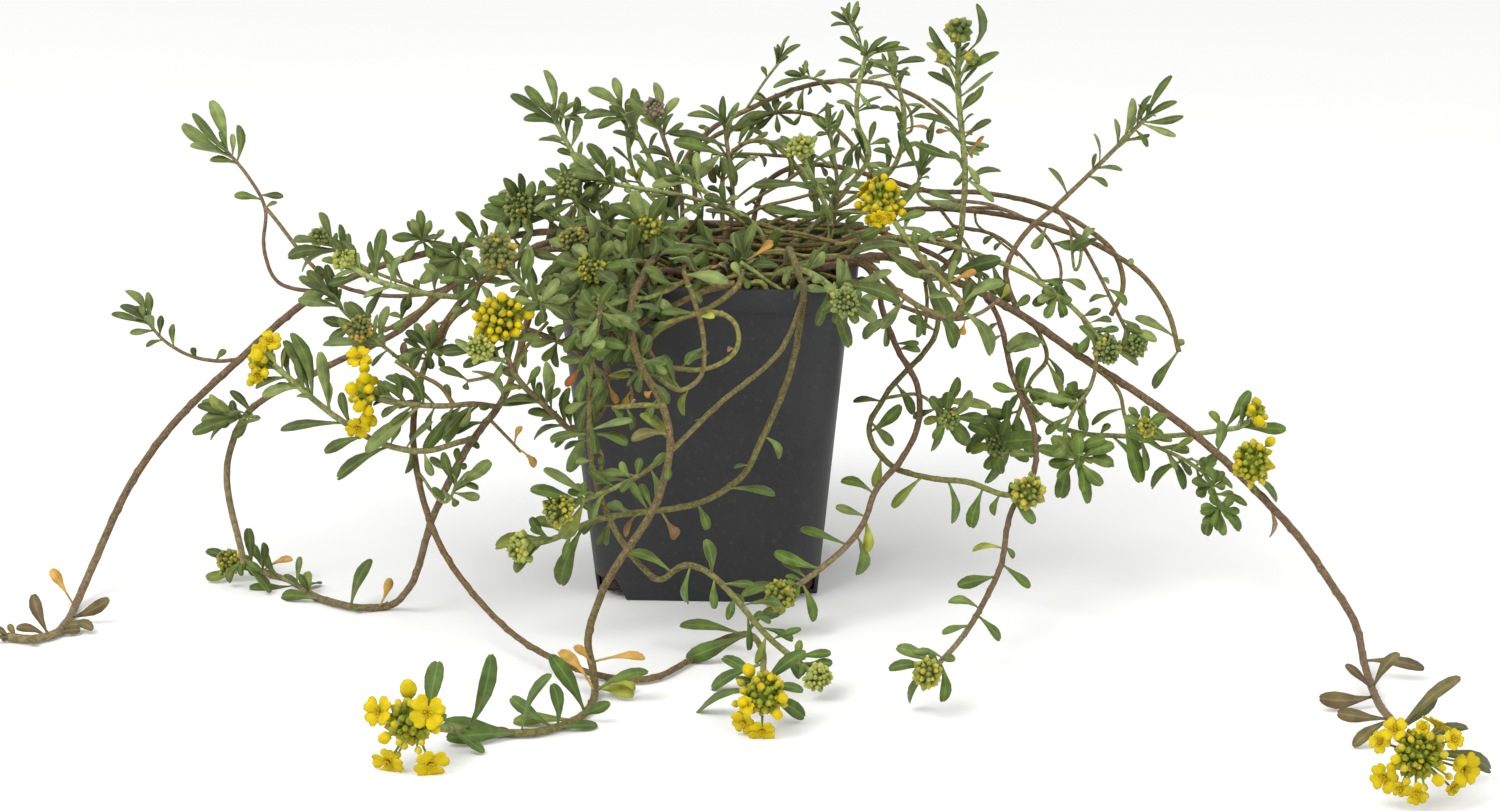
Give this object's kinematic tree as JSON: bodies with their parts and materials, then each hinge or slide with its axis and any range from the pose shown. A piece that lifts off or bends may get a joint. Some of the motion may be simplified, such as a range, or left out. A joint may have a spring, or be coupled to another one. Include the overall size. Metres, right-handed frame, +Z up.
{
  "type": "potted mountain alyssum",
  "caption": "Potted trailing alyssum: a square nursery pot of soil with leafy stems that arch over the rim, trail along the surface and end in heads of yellow flowers.",
  "frame": {"origin": "middle of the underside of the pot, on the surface that it stands on", "axes": "+Z up, front towards -Y, +X to the right seen from the front"},
  "size_m": [0.425, 0.2784, 0.1761],
  "materials": {
    "pot": "satin charcoal polypropylene, thermoformed",
    "soil": "crumbly damp peat",
    "stems_and_leaves": "matt grey-green leaves on olive to purple-brown stems",
    "flowers": "soft bright yellow petals and yellow-green buds"
  },
  "bodies": {
    "root": {"pot": "pot", "soil": "soil", "runner_far_right": "stems_and_leaves", "stem_right_arch": "stems_and_leaves", "stem_right_cut": "stems_and_leaves", "stem_right_rosettes": "stems_and_leaves", "trailer_right_inner": "stems_and_leaves", "trailer_right_middle": "stems_and_leaves", "trailer_right_outer": "stems_and_leaves", "stem_turning_back": "stems_and_leaves", "shoot_tall_right": "stems_and_leaves", "shoot_back_right": "stems_and_leaves", "shoot_back_twin": "stems_and_leaves", "stem_high_arch": "stems_and_leaves", "stem_back_arch": "stems_and_leaves", "stem_small_arch": "stems_and_leaves", "shoot_bud_centre": "stems_and_leaves", "shoot_centre_right": "stems_and_leaves", "shoot_centre": "stems_and_leaves", "shoot_bud_left": "stems_and_leaves", "shoot_left_back": "stems_and_leaves", "shoot_far_left_up": "stems_and_leaves", "shoot_bud_left_rim": "stems_and_leaves", "shoot_bud_front_left": "stems_and_leaves", "shoot_pale_long": "stems_and_leaves", "shoot_pale_short": "stems_and_leaves", "shoot_small_rosette": "stems_and_leaves", "stem_red_brown": "stems_and_leaves", "shoot_bud_rim_right": "stems_and_leaves", "runner_far_left": "stems_and_leaves", "runner_left_low": "stems_and_leaves", "trailer_left_front": "stems_and_leaves", "runner_front_long": "stems_and_leaves", "shoot_bud_left_brown": "stems_and_leaves", "shoot_bud_left_orange": "stems_and_leaves", "shoot_bud_rim_left": "stems_and_leaves", "shoot_bud_rim_front": "stems_and_leaves", "trailer_front_left_head": "stems_and_leaves", "stem_front_loop": "stems_and_leaves", "trailer_front_bud": "stems_and_leaves", "trailer_front_fork": "stems_and_leaves", "runner_front_head": "stems_and_leaves", "trailer_front_low": "stems_and_leaves", "bloom_far_right": "flowers", "bloom_right_cluster": "flowers", "bloom_right_side": "flowers", "bloom_above_rim": "flowers", "bloom_left_upper": "flowers", "bloom_left_tip": "flowers", "bloom_front_pot": "flowers", "bloom_left_centre": "flowers", "bloom_front_left": "flowers"}
  },
  "joints": []
}
